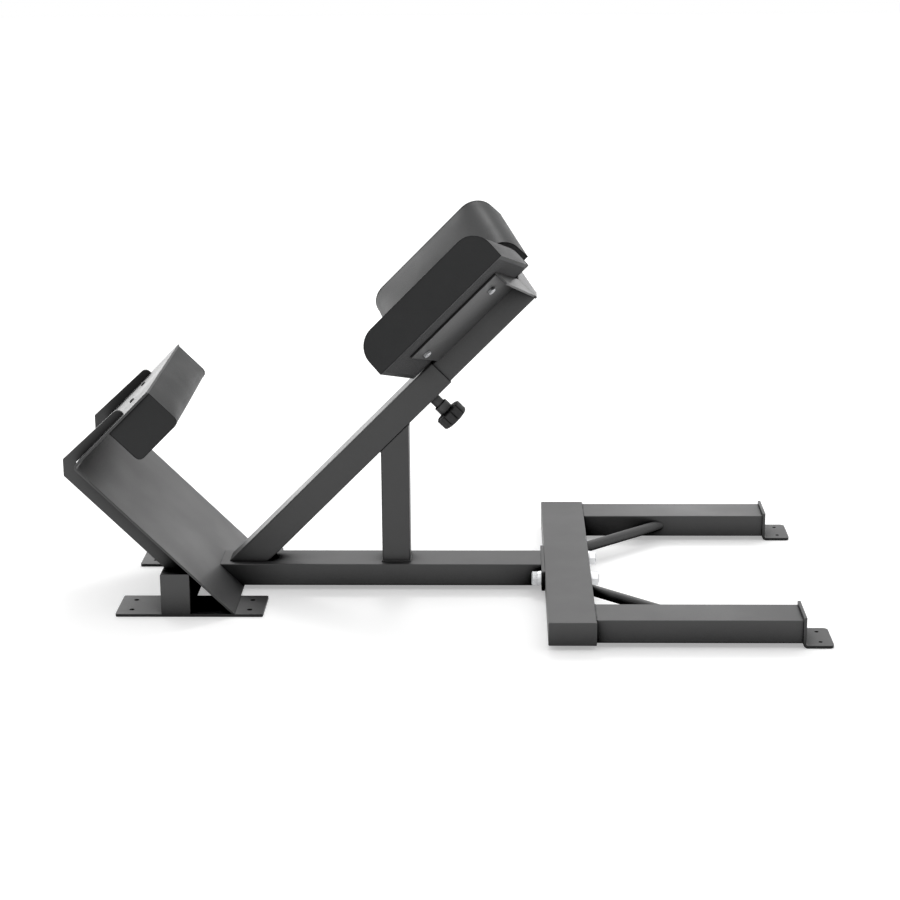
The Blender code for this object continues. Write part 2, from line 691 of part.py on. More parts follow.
def build_floor_plate(name, side):
    shape = bmesh.new()
    outline = rounded_rectangle(FLOOR_PLATE_LENGTH, FLOOR_PLATE_WIDTH, 0.003)
    add_prism(shape, outline, lambda a, b, c: (a, b, c), 0.0, FLOOR_PLATE_THICK)
    plate = add_piece(name + "_floor_plate", shape, PAINT, smooth=35)
    centre_x = FLOOR_PLATE_LEFT_X + FLOOR_PLATE_LENGTH / 2
    plate.location = (centre_x, side * (SHEET_WIDTH - FLOOR_PLATE_WIDTH) / 2, 0.0)
    points = [(i * FLOOR_HOLE_PITCH_X / 2, j * FLOOR_HOLE_PITCH_Y / 2, FLOOR_PLATE_THICK / 2)
              for i in (-1, 1) for j in (-1, 1)]
    cut_away(plate, drill(points, (0, 0, 1), FLOOR_HOLE_DIAMETER / 2, FLOOR_PLATE_THICK * 3))


# Upholstery

def cushion_profile(length, depth, radius, steps=6):
    """Side view (along, up) of a block whose two upper ends are rounded."""
    points = [(0.0, 0.0), (0.0, (depth - radius) / 2)]
    points += arc((radius, depth - radius), radius, 180, 90, steps)
    for part in range(1, 6):
        points.append((radius + (length - 2 * radius) * part / 6, depth))
    points += arc((length - radius, depth - radius), radius, 90, 0, steps)
    points += [(length, (depth - radius) / 2), (length, 0.0)]
    return points


def add_cushion(shape, length, width, depth, radius, board, margin, crown, swell):
    """Upholstered block: crowned top, sides drawn in at the base, pocket for its board."""
    profile = cushion_profile(length, depth, radius)
    middle = Vector((length / 2, 0.0, depth / 2))
    stations = [0.0, 0.03, 0.12, 0.3, 0.5, 0.7, 0.88, 0.97, 1.0]
    loops = []
    for station in stations:
        rise = crown * (1 - (2 * station - 1) ** 4)
        loop = []
        for along, up in profile:
            share = (up / depth) ** 2
            loop.append(shape.verts.new((along, station * width, up + rise * share)))
        loops.append(loop)
    count = len(profile)
    for one, two in zip(loops, loops[1:]):
        for i in range(count - 1):
            shape.faces.new((one[i], one[i + 1], two[i + 1], two[i]))
    for loop, outward in ((loops[0], -1), (loops[-1], 1)):
        previous = loop
        for inset, push in ((0.82, 0.7), (0.4, 1.0)):
            ring = []
            for vert in loop:
                spot = middle + (Vector((vert.co.x, 0.0, vert.co.z)) - middle) * inset
                spot.y = vert.co.y + outward * swell * push
                if vert.co.z < 1e-9:
                    spot.z = max(spot.z, 0.0)
                ring.append(shape.verts.new(spot))
            ring_faces(shape, [previous, ring])
            previous = ring
        shape.faces.new(previous)
    add_pocket(shape, loops, length, width, board, margin)


def add_pocket(shape, loops, length, width, board, margin):
    """Closes the underside with a flat rim and the recess that the board lies in."""
    near_rim = [loop[0] for loop in loops]
    far_rim = [loop[-1] for loop in loops]
    rim = near_rim + far_rim[::-1]
    outline = [(margin, margin), (margin, width - margin), (length - margin, width - margin),
               (length - margin, margin)]
    mouth = [shape.verts.new((a, b, 0.0)) for a, b in outline]
    floor = [shape.verts.new((a, b, board)) for a, b in outline]
    ring_faces(shape, [mouth, floor])
    shape.faces.new(floor)
    edges = set()
    for loop in (rim, mouth):
        for i, vert in enumerate(loop):
            one, two = vert, loop[(i + 1) % len(loop)]
            edges.add(shape.edges.get((one, two)) or shape.edges.new((one, two)))
    bmesh.ops.triangle_fill(shape, use_beauty=True, edges=list(edges))


def build_calf_pad(incline):
    """Block behind the calves, its board against the lip."""
    shape = bmesh.new()
    depth = CALF_DEPTH - GAP
    add_cushion(shape, CALF_LENGTH_U, CALF_WIDTH, depth, CALF_CORNER, BOARD_THICK, BOARD_MARGIN,
                PAD_CROWN * 0.6, PAD_SIDE_SWELL * 0.6)
    place = Matrix.Translation((CALF_LOW_U, CALF_WIDTH / 2, LIP_FRONT_V - GAP))
    turn = place @ Matrix.Rotation(math.pi, 4, "X")
    bmesh.ops.transform(shape, matrix=turn, verts=shape.verts)
    add_piece("calf_pad", shape, VINYL, incline, smooth=40)
    board = bmesh.new()
    inset = BOARD_MARGIN + GAP
    add_box(board, (CALF_LOW_U + inset, -CALF_WIDTH / 2 + inset, LIP_FRONT_V - GAP - BOARD_THICK + GAP),
            (CALF_LOW_U + CALF_LENGTH_U - inset, CALF_WIDTH / 2 - inset, LIP_FRONT_V - GAP))
    piece = add_piece("calf_pad_board", board, PLYWOOD, incline)
    points = [(CALF_SCREW_U, side * CALF_SCREW_SPREAD / 2, LIP_FRONT_V) for side in (-1, 1)]
    cut_away(piece, drill(points, (0, 0, 1), SCREW_SHANK / 2 + GAP, BOARD_THICK * 1.4))
    reach = SHEET_THICK + GAP + SCREW_BITE
    head = SCREW_HEAD_DIAMETER / 2
    profile = [(-SCREW_HEAD, head * 0.55), (-SCREW_HEAD * 0.75, head * 0.85), (-SCREW_HEAD * 0.3, head),
               (0.0, head), (0.0, SCREW_SHANK / 2), (reach, SCREW_SHANK / 2)]
    for name, side in SIDES.items():
        screw = bmesh.new()
        add_round(screw, (0, 0, 0), (0, 0, -1), profile, 18)
        piece = add_piece(name + "_calf_pad_screw", screw, BLACK_OXIDE, incline, smooth=35)
        piece.location = (CALF_SCREW_U, side * CALF_SCREW_SPREAD / 2, LIP_BACK_V + GAP)


# Post, plunger and carriage

def build_post(incline):
    """Inclined outer tube: foot cut level on the spine, square mouth, one hole for the pin."""
    rest_sum = (TUBE_TOP_Z + GAP) * math.sqrt(2)
    shape = bmesh.new()
    add_tube(shape, POST_SIZE, POST_SIZE, POST_WALL, SQUARE_CORNER, along_x,
             lambda a, b: rest_sum - b, lambda a, b: POST_MOUTH_U, steps=3)
    post = add_piece("post_tube", shape, PAINT, incline, smooth=35)
    point = (PIN_U, 0.0, -POST_SIZE / 2 + POST_WALL / 2)
    cut_away(post, drill([point], (0, 0, 1), HOLE_DIAMETER / 2, POST_WALL * 4, 24))


def build_housing(incline):
    """Fixed plunger body: neck, wider barrel with the spring chamber, and its screwed cap."""
    start = (PIN_U, 0.0, -POST_SIZE / 2 - GAP)
    bore = HOLE_DIAMETER / 2
    neck = HOUSING_NECK_DIAMETER / 2
    barrel = HOUSING_DIAMETER / 2
    chamber = CHAMBER_DIAMETER / 2
    cap_seat = HOUSING_LENGTH - HOUSING_CAP_THICK
    edge = 0.0008
    profile = [(0.0, neck), (HOUSING_NECK_LENGTH, neck), (HOUSING_NECK_LENGTH, barrel - edge),
               (HOUSING_NECK_LENGTH + edge, barrel), (HOUSING_LENGTH - edge, barrel),
               (HOUSING_LENGTH, barrel - edge), (HOUSING_LENGTH, chamber + 0.002),
               (cap_seat, chamber + 0.002), (cap_seat, chamber), (HOUSING_FLOOR, chamber),
               (HOUSING_FLOOR, bore), (0.0, bore)]
    shape = bmesh.new()
    add_ring(shape, start, (0, 0, -1), profile, 32)
    add_piece("plunger_housing", shape, CAP_PAINT, incline, smooth=35)
    cap = bmesh.new()
    outside = chamber + 0.002 - GAP
    opening = ROD_DIAMETER / 2 + BOLT_PLAY
    ring = [(cap_seat + GAP, outside), (HOUSING_LENGTH, outside), (HOUSING_LENGTH, opening),
            (cap_seat + GAP, opening)]
    add_ring(cap, start, (0, 0, -1), ring, 32)
    add_piece("plunger_housing_cap", cap, BLACK_OXIDE, incline, smooth=35)


def build_plunger(incline):
    """Moving pin and knob; their parent lies on the pin's own axis."""
    axis = add_axis("plunger_axis", incline, (PIN_U, 0.0, -POST_SIZE / 2 - GAP))
    tip = POST_WALL + SLIDE_PLAY + CARRIAGE_WALL + PIN_REACH + GAP
    flange_at = HOUSING_FLOOR + GAP
    flange_end = flange_at + PIN_FLANGE_THICK
    rod_end = HOUSING_LENGTH + GAP + KNOB_SOCKET
    radius = PIN_DIAMETER / 2
    pin = bmesh.new()
    profile = [(-tip, radius - 0.0015), (-tip + 0.0015, radius), (flange_at, radius),
               (flange_at, PIN_FLANGE_DIAMETER / 2), (flange_end, PIN_FLANGE_DIAMETER / 2),
               (flange_end, ROD_DIAMETER / 2), (rod_end, ROD_DIAMETER / 2)]
    add_round(pin, (0, 0, 0), (0, 0, -1), profile, 24)
    add_piece("plunger_pin", pin, ZINC, axis, smooth=35)
    build_knob(axis, HOUSING_LENGTH + 2 * GAP)


def build_knob(axis, start):
    """Lobed hand knob with a domed end and a socket for the rod."""
    full = KNOB_DIAMETER / 2
    hub = HOUSING_DIAMETER / 2 - 0.002
    socket = ROD_DIAMETER / 2 + GAP
    segments = KNOB_GRIPS * 8
    # distance, radius, share of the groove depth
    profile = [(0.0, hub, 0.0), (0.0015, hub + 0.001, 0.0), (0.0015, full - 0.0020, 1.0),
               (0.0030, full, 1.0), (KNOB_LENGTH - 0.0040, full, 1.0),
               (KNOB_LENGTH - 0.0015, full - 0.0020, 1.0),
               (KNOB_LENGTH - 0.0004, full - 0.0060, KNOB_RIM_GROOVE_SHARE),
               (KNOB_LENGTH, full - 0.0110, 0.0)]
    shape = bmesh.new()
    loops = []
    for distance, radius, share in profile:
        loop = []
        for i in range(segments):
            angle = 2 * math.pi * i / segments
            place = (i % 8) / 8
            nearness = max(0.0, 1.0 - min(place, 1.0 - place) / (KNOB_GROOVE_SHARE / 2 + 0.02))
            reach = radius - KNOB_GROOVE * share * nearness
            across, along = reach * math.cos(angle), reach * math.sin(angle)
            loop.append(shape.verts.new((across, along, -start - distance)))
        loops.append(loop)
    ring_faces(shape, loops)
    shape.faces.new(loops[-1])
    depth = start + KNOB_SOCKET + 2 * GAP
    inside = []
    for z in (-start, -depth):
        inside.append([shape.verts.new((socket * math.cos(2 * math.pi * i / segments),
                                        socket * math.sin(2 * math.pi * i / segments), z))
                       for i in range(segments)])
    ring_faces(shape, [loops[0], inside[0], inside[1]])
    shape.faces.new(inside[1])
    add_piece("plunger_knob", shape, PLASTIC, axis, smooth=40)


def build_carriage(incline):
    """Inner tube with the hole row, its end cap, the wings and the two hip pads."""
    axis = add_axis("carriage_axis", incline, (POST_MOUTH_U, 0.0, 0.0))
    half = CARRIAGE_SIZE / 2
    low = CARRIAGE_LOW_U - POST_MOUTH_U
    high = CARRIAGE_END_U - POST_MOUTH_U
    shape = bmesh.new()
    add_tube(shape, CARRIAGE_SIZE, CARRIAGE_SIZE, CARRIAGE_WALL, CARRIAGE_CORNER, along_x,
             lambda a, b: low, lambda a, b: high, steps=3)
    tube = add_piece("carriage_tube", shape, PAINT, axis, smooth=35)
    wall_v = -half + CARRIAGE_WALL / 2
    points = [(PIN_U - POST_MOUTH_U - k * HOLE_PITCH, 0.0, wall_v) for k in range(HOLE_COUNT)]
    cut_away(tube, drill(points, (0, 0, 1), HOLE_DIAMETER / 2, CARRIAGE_WALL * 4, 24))
    cap = bmesh.new()
    outline = [(-half, -half - CARRIAGE_CAP_LIP), (half, -half - CARRIAGE_CAP_LIP),
               (half, half), (-half, half)]
    add_prism(cap, outline, lambda y, v, u: (u, y, v), high + GAP, high + GAP + CARRIAGE_CAP_THICK)
    cap_piece = add_piece("carriage_end_plate", cap, PAINT, axis, smooth=35)
    soften_edges(cap_piece)
    for name, side in SIDES.items():
        corner = (-POST_MOUTH_U, side * PAD_INNER_Y, PAD_BASE_V)
        frame = add_axis(name + "_pad_frame", axis, corner, (side * PAD_ROLL, 0.0, 0.0))
        build_wing(name, side, frame)
        build_wing_rib(name, side, axis)
        build_hip_pad(name, side, frame)
        build_pad_bolts(name, side, frame)


def wing_outline():
    """Plan (u, out) of a wing; out is measured from the pad's inner edge, away from the tube."""
    tube_side = CARRIAGE_SIZE / 2 + GAP
    inner = (tube_side - PAD_INNER_Y - GAP * math.sin(PAD_ROLL)) / math.cos(PAD_ROLL)
    return [(WING_LOW_U + WING_INNER_SET, inner), (WING_HIGH_U, inner), (WING_HIGH_U, WING_OUTER),
            (WING_LOW_U, WING_OUTER)]


def build_wing(name, side, frame):
    """Sloping plate under a pad, its inner edge on the carriage tube's side."""
    shape = bmesh.new()
    add_prism(shape, wing_outline(), lambda u, out, c: (u, side * out, c), -GAP - WING_THICK, -GAP)
    wing = add_piece(name + "_pad_wing", shape, PAINT, frame, smooth=35)
    soften_edges(wing)
    points = [(u, side * PAD_BOLT_OUT, -GAP - WING_THICK / 2) for u in (PAD_BOLT_LOW_U, PAD_BOLT_HIGH_U)]
    cut_away(wing, drill(points, (0, 0, 1), PAD_BOLT_SHANK / 2 + BOLT_PLAY, WING_THICK * 4))


def build_wing_rib(name, side, axis):
    """Tapered plate across the slope: it closes the angle between tube side and pad underside."""
    inner = CARRIAGE_SIZE / 2 + GAP
    outer = PAD_INNER_Y + WING_OUTER * math.cos(PAD_ROLL)

    def pad_underside(y):
        return PAD_BASE_V + (y - PAD_INNER_Y) * math.tan(PAD_ROLL) - GAP / math.cos(PAD_ROLL)

    top = pad_underside(outer)
    outline = [(inner, RIB_FOOT_V), (inner, pad_underside(inner)),
               (outer, top), (outer, top - RIB_OUTER_DEPTH)]
    low = WING_HIGH_U + GAP - POST_MOUTH_U
    shape = bmesh.new()
    add_prism(shape, outline, lambda y, v, u: (u, side * y, v), low, low + RIB_THICK)
    rib = add_piece(name + "_wing_rib", shape, PAINT, axis, smooth=35)
    soften_edges(rib)


def build_hip_pad(name, side, frame):
    """Upholstered block on a plywood board; its upper edges are rounded at both ends."""
    shape = bmesh.new()
    add_cushion(shape, PAD_LENGTH, PAD_WIDTH, PAD_DEPTH, PAD_END_RADIUS, BOARD_THICK, BOARD_MARGIN,
                PAD_CROWN, PAD_SIDE_SWELL)
    if side < 0:
        bmesh.ops.transform(shape, matrix=Matrix.Scale(-1, 4, (0, 1, 0)), verts=shape.verts)
    bmesh.ops.transform(shape, matrix=Matrix.Translation((PAD_LOW_U, 0.0, 0.0)), verts=shape.verts)
    add_piece(name + "_hip_pad", shape, VINYL, frame, smooth=40)
    board = bmesh.new()
    inset = BOARD_MARGIN + GAP
    ends = sorted((side * inset, side * (PAD_WIDTH - inset)))
    add_box(board, (PAD_LOW_U + inset, ends[0], 0.0),
            (PAD_LOW_U + PAD_LENGTH - inset, ends[1], BOARD_THICK - GAP))
    piece = add_piece(name + "_pad_board", board, PLYWOOD, frame)
    points = [(u, side * PAD_BOLT_OUT, 0.0) for u in (PAD_BOLT_LOW_U, PAD_BOLT_HIGH_U)]
    cut_away(piece, drill(points, (0, 0, 1), PAD_BOLT_SHANK / 2 + GAP, 2 * (PAD_BOLT_DEPTH + GAP)))


def build_pad_bolts(name, side, frame):
    """Two bolts from under the wing into the board."""
    length = WING_THICK + 2 * GAP + PAD_BOLT_DEPTH
    for word, u in (("lower", PAD_BOLT_LOW_U), ("upper", PAD_BOLT_HIGH_U)):
        shape = bmesh.new()
        add_bolt(shape, (0, 0, 0), (0, 0, 1), PAD_BOLT_FLATS, PAD_BOLT_HEAD, PAD_BOLT_SHANK, length)
        bolt = add_piece(name + "_" + word + "_pad_bolt", shape, ZINC, frame, smooth=35)
        bolt.location = (u, side * PAD_BOLT_OUT, -2 * GAP - WING_THICK)


def build_bench():
    clear_scene()
    build_crossbeam()
    for name, side in SIDES.items():
        build_leg(name, side)
        build_bracket(name, side)
        build_brace(name, side)
        build_floor_plate(name, side)
    build_spine()
    build_flange_fasteners()
    build_stay()
    build_rear_tube()
    incline = add_axis("incline", None, (INCLINE_FOOT_X, 0.0, 0.0), (0.0, -INCLINE_ANGLE, 0.0))
    build_platform(incline)
    build_calf_pad(incline)
    build_post(incline)
    build_housing(incline)
    build_plunger(incline)
    build_carriage(incline)


build_bench()
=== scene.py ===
import math

import bmesh
import bpy
from mathutils import Matrix, Vector
from mathutils.geometry import delaunay_2d_cdt


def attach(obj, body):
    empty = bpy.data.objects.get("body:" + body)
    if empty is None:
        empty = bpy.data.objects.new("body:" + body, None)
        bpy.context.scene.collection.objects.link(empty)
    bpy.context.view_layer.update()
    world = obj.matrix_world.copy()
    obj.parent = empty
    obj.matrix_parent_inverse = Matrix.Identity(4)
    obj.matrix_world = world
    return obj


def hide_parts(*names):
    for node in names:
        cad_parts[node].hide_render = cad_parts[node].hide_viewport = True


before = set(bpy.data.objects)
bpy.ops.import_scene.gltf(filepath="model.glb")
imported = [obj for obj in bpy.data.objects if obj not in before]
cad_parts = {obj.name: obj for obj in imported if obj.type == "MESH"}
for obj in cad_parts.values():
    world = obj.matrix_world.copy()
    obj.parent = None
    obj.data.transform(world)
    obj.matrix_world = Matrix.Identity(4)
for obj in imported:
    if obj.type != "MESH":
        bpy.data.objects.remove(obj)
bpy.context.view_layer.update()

# Lengths are in metres, and those of tubes, pads and boards are the frame's own

# Incline: u runs up the slope and v square to it
INCLINE_ANGLE = math.radians(45.0)
INCLINE_FOOT_X = -0.3993
POST_SIZE = 0.050

# Hip pads
PAD_LOW_U = 0.5197
PAD_LENGTH = 0.2820
PAD_WIDTH = 0.1753
PAD_DEPTH = 0.0676
PAD_END_RADIUS = 0.0385
PAD_ROLL = math.radians(22.2)
PAD_INNER_Y = 0.0416
PAD_BASE_V = 0.0295
PAD_SWELL = 0.006         # the filling moves no point of the cover further than this

# Calf pad
CALF_LOW_U = 0.1158
CALF_LENGTH = 0.0990
CALF_DEPTH = 0.0705
CALF_WIDTH = 0.352
CALF_CORNER = 0.010
CALF_SWELL = 0.004
LIP_FRONT_V = 0.3465

# Upholstery
COVER_PITCH = 0.005       # spacing of the cover's mesh
PANEL_CLEARANCE = 0.6 * COVER_PITCH
TOUCHING = 1e-6           # points nearer than this are one point
BOARD_MARGIN = 0.0105     # rim of the cover round the board
BOARD_TUCK = 0.005        # how far the cover is tucked in above the board's face
SEAM_RADIUS = 0.0006
FILL_PRESSURE = 4.0
FILL_FRAMES = 20
IRONING_ROUNDS = 30
IRONING_STEP = 0.5
IRONING_RETURN = 1.04     # each round's second step goes back by this share of its first
SHARP_ANGLE = math.radians(50.0)

# Ground frame
TUBE_TOP_Z = 0.048
BEAM_RIGHT_X = 0.2577
LEG_MID_Y = 0.2862
LEG_HALF_WIDTH = 0.040
STAY_CENTRE_X = -0.0873
STAY_SIZE = 0.050

# Weld beads
WELD_RADIUS = 0.0018
WELD_PITCH = 0.002        # spacing of a bead's rings
STAY_WELD_LIFT = 0.0006   # how far the stay's beads stand off the spine and the post
HEAD_WELD_SHARE = 0.9     # width of the bead at the stay's head, as a share of the stay's
LEG_WELD_OUT = 0.0005     # how far the legs' beads stand off the crossbeam
LEG_WELD_DROP = 0.001     # and how far they lie below its top
RIPPLE_MIDDLE = 0.85      # a ring's size swings about this share of the bead's radius
RIPPLE_HEIGHT = 0.22      # by this share
RIPPLE_TURN = 2.2         # and turns on by this angle, in radians, from ring to ring

# Camera
CAMERA_PLACE = (0.1000, -3.6051, 1.2616)
CAMERA_PITCH = math.radians(15.697)
CAMERA_YAW = math.radians(1.44)
CAMERA_ROLL = math.radians(-0.404)
CAMERA_LENS = 84.5        # millimetres
SENSOR_WIDTH = 36.0       # millimetres

# Surfaces
TONE_START = 0.35         # a texture's values change the tone from here
TONE_END = 0.65           # to here
PAINTED_SHADE_REACH = 0.085      # painted shade: recesses between pieces are painted dark out to this distance
PAINTED_SHADE_BLACK = 0.38       # openness below which a recess is painted black
PAINTED_SHADE_CLEAR = 0.80       # openness above which it is as light as a free face
PAINTED_SHADE_SAMPLES = 8
PAINT_GLOSS = 0.5
VINYL_GLOSS = 0.235
PLASTIC_GLOSS = 0.25
THREAD_PITCH = 0.002
BANDS_AT_SCALE_1 = 3.2    # bands per metre of a wave texture at scale 1

# Floor and room
FLOOR_REACH = 14.0
FLOOR_DROP = 0.0002       # the paper lies this far below the feet
FLOOR_GLOW = 0.38
ROOM_NEAR = 0.18          # strength of the room's light from the camera's side
ROOM_FAR = 1.06           # and from behind the bench
ROOM_FADE = 0.5           # it changes between directions whose Y is minus and plus this

# Lights
BACK_LEFT_POWER = 50.0
BACK_RIGHT_POWER = 12.0
SOFTBOX_POWER = 24.0
GLINT_POWER = 1.4
OVERHEAD_ENERGY = 0.85
OVERHEAD_SPREAD = math.radians(100.0)

# Places of the colour sockets of a mix node
MIX_COLOUR_A = 6
MIX_COLOUR_B = 7
MIX_COLOUR_OUT = 2


# Materials

def start_material(name, colour, roughness, metallic=0.0):
    material = bpy.data.materials.new(name)
    material.use_nodes = True
    shader = material.node_tree.nodes["Principled BSDF"]
    shader.inputs["Base Color"].default_value = (*colour, 1.0)
    shader.inputs["Roughness"].default_value = roughness
    shader.inputs["Metallic"].default_value = metallic
    return material, shader


def add_texture(material, kind, scale, detail=None, stretch=(1.0, 1.0, 1.0)):
    """Texture node that reads the object's own coordinates."""
    nodes = material.node_tree.nodes
    links = material.node_tree.links
    place = nodes.new("ShaderNodeTexCoord")
    mapping = nodes.new("ShaderNodeMapping")
    mapping.inputs["Scale"].default_value = stretch
    texture = nodes.new(kind)
    texture.inputs["Scale"].default_value = scale
    if detail is not None:
        texture.inputs["Detail"].default_value = detail
    links.new(place.outputs["Object"], mapping.inputs["Vector"])
    links.new(mapping.outputs["Vector"], texture.inputs["Vector"])
    return texture


def vary(material, socket, source, low, high, start=TONE_START, end=TONE_END):
    """Maps a texture's value onto a shader socket, from low to high."""
    mapped = material.node_tree.nodes.new("ShaderNodeMapRange")
    mapped.inputs["From Min"].default_value = start
    mapped.inputs["From Max"].default_value = end
    mapped.inputs["To Min"].default_value = low
    mapped.inputs["To Max"].default_value = high
    material.node_tree.links.new(source, mapped.inputs["Value"])
    material.node_tree.links.new(mapped.outputs["Result"], socket)


def vary_colour(material, shader, source, dark, light):
    """Maps a texture's value onto the base colour, from dark to light."""
    ramp = material.node_tree.nodes.new("ShaderNodeValToRGB")
    ramp.color_ramp.elements[0].position = TONE_START
    ramp.color_ramp.elements[1].position = TONE_END
    ramp.color_ramp.elements[0].color = (*dark, 1.0)
    ramp.color_ramp.elements[1].color = (*light, 1.0)
    material.node_tree.links.new(source, ramp.inputs["Fac"])
    material.node_tree.links.new(ramp.outputs["Color"], shader.inputs["Base Color"])


def add_bump(material, shader, source, depth, strength):
    """Raises the surface by a texture's value, on top of any bump that it has already."""
    links = material.node_tree.links
    normal = shader.inputs["Normal"]
    bump = material.node_tree.nodes.new("ShaderNodeBump")
    bump.inputs["Distance"].default_value = depth
    bump.inputs["Strength"].default_value = strength
    links.new(source, bump.inputs["Height"])
    if normal.is_linked:
        links.new(normal.links[0].from_socket, bump.inputs["Normal"])
    links.new(bump.outputs["Normal"], normal)


def paint_recess_shade(material, shader, gloss):
    """Painted shade: darkens the colour and dims the gloss where other pieces crowd the surface: joints,
    corners, undersides.
    """
    nodes = material.node_tree.nodes
    links = material.node_tree.links
    openness = nodes.new("ShaderNodeAmbientOcclusion")
    openness.inputs["Distance"].default_value = PAINTED_SHADE_REACH
    openness.samples = PAINTED_SHADE_SAMPLES
    unshaded_share = nodes.new("ShaderNodeMapRange")
    unshaded_share.inputs["From Min"].default_value = PAINTED_SHADE_BLACK
    unshaded_share.inputs["From Max"].default_value = PAINTED_SHADE_CLEAR
    links.new(openness.outputs["AO"], unshaded_share.inputs["Value"])
    shade_tint = nodes.new("ShaderNodeMix")
    shade_tint.data_type = "RGBA"
    shade_tint.blend_type = "MULTIPLY"
    shade_tint.inputs["Factor"].default_value = 1.0
    colour = shader.inputs["Base Color"].links[0].from_socket
    links.new(colour, shade_tint.inputs[MIX_COLOUR_A])
    links.new(unshaded_share.outputs["Result"], shade_tint.inputs[MIX_COLOUR_B])
    links.new(shade_tint.outputs[MIX_COLOUR_OUT], shader.inputs["Base Color"])
    vary(material, shader.inputs["Specular IOR Level"], unshaded_share.outputs["Result"], 0.0, gloss, 0.0, 1.0)


def powder_coat(name, dark, light, rough):
    """Satin powder coat: fine orange peel, faint cloudiness in tone and gloss."""
    material, shader = start_material(name, dark, rough)
    cloud = add_texture(material, "ShaderNodeTexNoise", scale=9.0, detail=6.0)
    peel = add_texture(material, "ShaderNodeTexNoise", scale=1100.0, detail=2.0)
    vary_colour(material, shader, cloud.outputs["Fac"], dark, light)
    vary(material, shader.inputs["Roughness"], cloud.outputs["Fac"], rough - 0.04, rough + 0.06)
    add_bump(material, shader, peel.outputs["Fac"], depth=0.0002, strength=0.35)
    # painted shade: darker and duller in recesses
    paint_recess_shade(material, shader, PAINT_GLOSS)
    return material


def vinyl(name, dark, light):
    """Matte upholstery vinyl: pebbled grain over slow unevenness."""
    material, shader = start_material(name, dark, roughness=0.5)
    grain = add_texture(material, "ShaderNodeTexVoronoi", scale=620.0)
    slow = add_texture(material, "ShaderNodeTexNoise", scale=14.0, detail=5.0)
    vary_colour(material, shader, slow.outputs["Fac"], dark, light)
    vary(material, shader.inputs["Roughness"], slow.outputs["Fac"], low=0.47, high=0.55)
    add_bump(material, shader, grain.outputs["Distance"], depth=0.0003, strength=0.4)
    add_bump(material, shader, slow.outputs["Fac"], depth=0.0010, strength=0.15)
    # painted shade: darker and duller in recesses
    paint_recess_shade(material, shader, VINYL_GLOSS)
    return material


def zinc_plate(name, dark, light):
    """Zinc: brushed micro-scratches and slightly uneven gloss."""
    material, shader = start_material(name, dark, roughness=0.34, metallic=1.0)
    scratch = add_texture(material, "ShaderNodeTexNoise", scale=260.0, detail=8.0, stretch=(1.0, 6.0, 6.0))
    vary(material, shader.inputs["Roughness"], scratch.outputs["Fac"], low=0.26, high=0.46)
    vary_colour(material, shader, scratch.outputs["Fac"], dark, light)
    add_bump(material, shader, scratch.outputs["Fac"], depth=0.00005, strength=0.4)
    return material


def threaded_zinc(name, pitch):
    """Zinc with a rolled thread that runs along X."""
    material, shader = start_material(name, (0.80, 0.81, 0.82), roughness=0.38, metallic=1.0)
    turns = add_texture(material, "ShaderNodeTexWave", scale=1.0 / (pitch * BANDS_AT_SCALE_1))
    turns.wave_type = "BANDS"
    turns.bands_direction = "X"
    turns.inputs["Distortion"].default_value = 0.0
    vary(material, shader.inputs["Roughness"], turns.outputs["Fac"], low=0.22, high=0.5)
    add_bump(material, shader, turns.outputs["Fac"], depth=0.0006, strength=0.8)
    return material


def moulded_plastic(name, dark, light):
    """Black plastic with the fine spark grain of its mould."""
    material, shader = start_material(name, dark, roughness=0.55)
    spark = add_texture(material, "ShaderNodeTexNoise", scale=1500.0)
    vary_colour(material, shader, spark.outputs["Fac"], dark, light)
    vary(material, shader.inputs["Roughness"], spark.outputs["Fac"], low=0.48, high=0.60)
    add_bump(material, shader, spark.outputs["Fac"], depth=0.00015, strength=0.5)
    # painted shade: darker and duller in recesses
    paint_recess_shade(material, shader, PLASTIC_GLOSS)
    return material


def backing_cloth(name, dark, light):
    """Thin black cloth stapled under a board: a fine plain weave."""
    material, shader = start_material(name, dark, roughness=0.85)
    weave = add_texture(material, "ShaderNodeTexVoronoi", scale=1400.0)
    vary_colour(material, shader, weave.outputs["Distance"], dark, light)
    add_bump(material, shader, weave.outputs["Distance"], depth=0.0003, strength=0.6)
    return material


def floor_paper(name):
    """White paper that glows a little, as an overexposed backdrop does."""
    material, shader = start_material(name, (0.80, 0.80, 0.80), roughness=0.85)
    shader.inputs["Emission Color"].default_value = (1.0, 1.0, 1.0, 1.0)
    shader.inputs["Emission Strength"].default_value = FLOOR_GLOW
    grain = add_texture(material, "ShaderNodeTexNoise", scale=40.0)
    vary(material, shader.inputs["Roughness"], grain.outputs["Fac"], low=0.8, high=0.9)
    return material


PAINT = powder_coat("frame_powder_coat", (0.0420, 0.0420, 0.0425), (0.0500, 0.0500, 0.0505), 0.42)
# Painted light: a lighter copy of the frame's paint, standing for the extra light that the caps' faces
# catch; the plunger housing shares it.
LIT_CAP_PAINT = powder_coat("cap_powder_coat_painted_light", (0.0520, 0.0520, 0.0525), (0.0610, 0.0610, 0.0615), 0.45)
VINYL = vinyl("cushion_vinyl", (0.020, 0.0205, 0.021), (0.025, 0.0255, 0.026))
